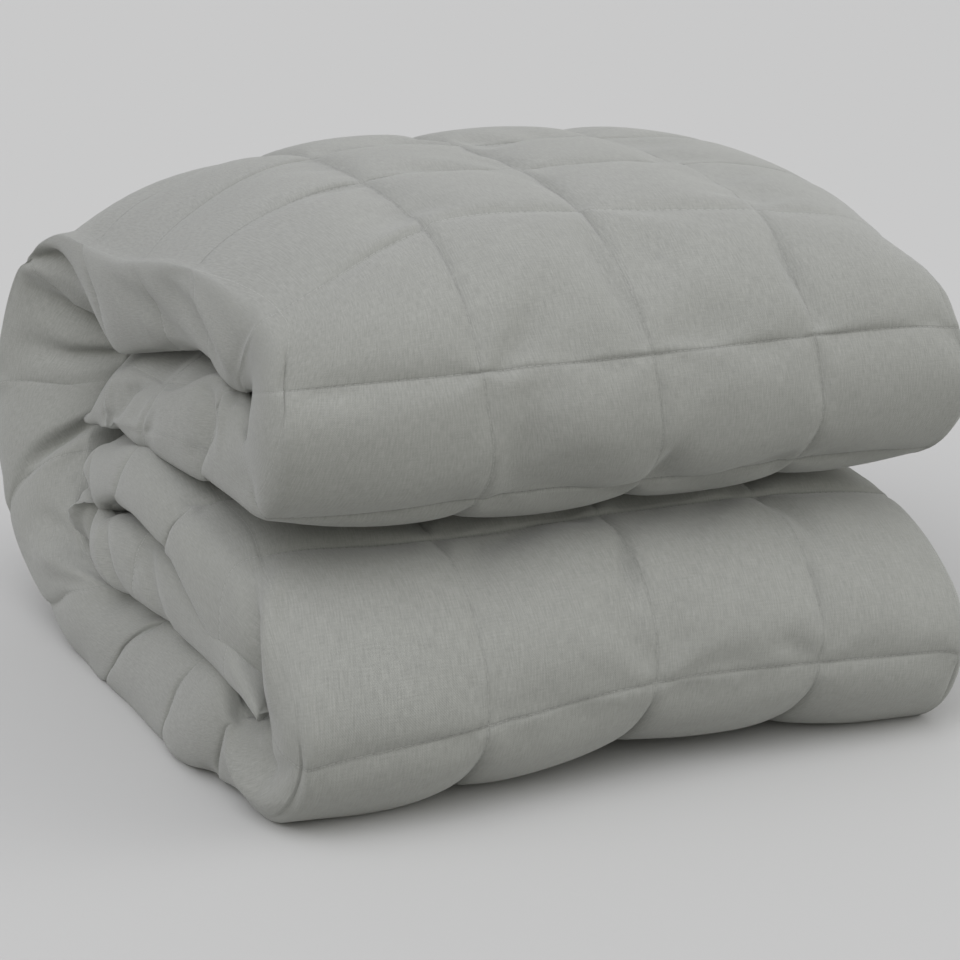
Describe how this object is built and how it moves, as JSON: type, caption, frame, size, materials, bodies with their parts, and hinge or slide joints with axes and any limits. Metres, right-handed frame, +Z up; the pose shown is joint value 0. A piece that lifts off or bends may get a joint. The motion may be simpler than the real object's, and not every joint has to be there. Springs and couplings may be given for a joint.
{
  "type": "folded weighted blanket",
  "caption": "Quilted weighted blanket, folded into a thick strip whose ends are turned in, then folded once more into a pile that lies flat.",
  "frame": {"origin": "the middle of the pile's box, on the floor it lies on", "axes": "+X runs along the two front folds, from the open left side of the pile to its right side, +Y from the front folds to the rounded back, +Z up"},
  "size_m": [0.4486, 0.4838, 0.3193],
  "materials": {
    "grey_weave": "matt heathered plain weave"
  },
  "bodies": {
    "root": {"blanket": "grey_weave"}
  },
  "joints": []
}
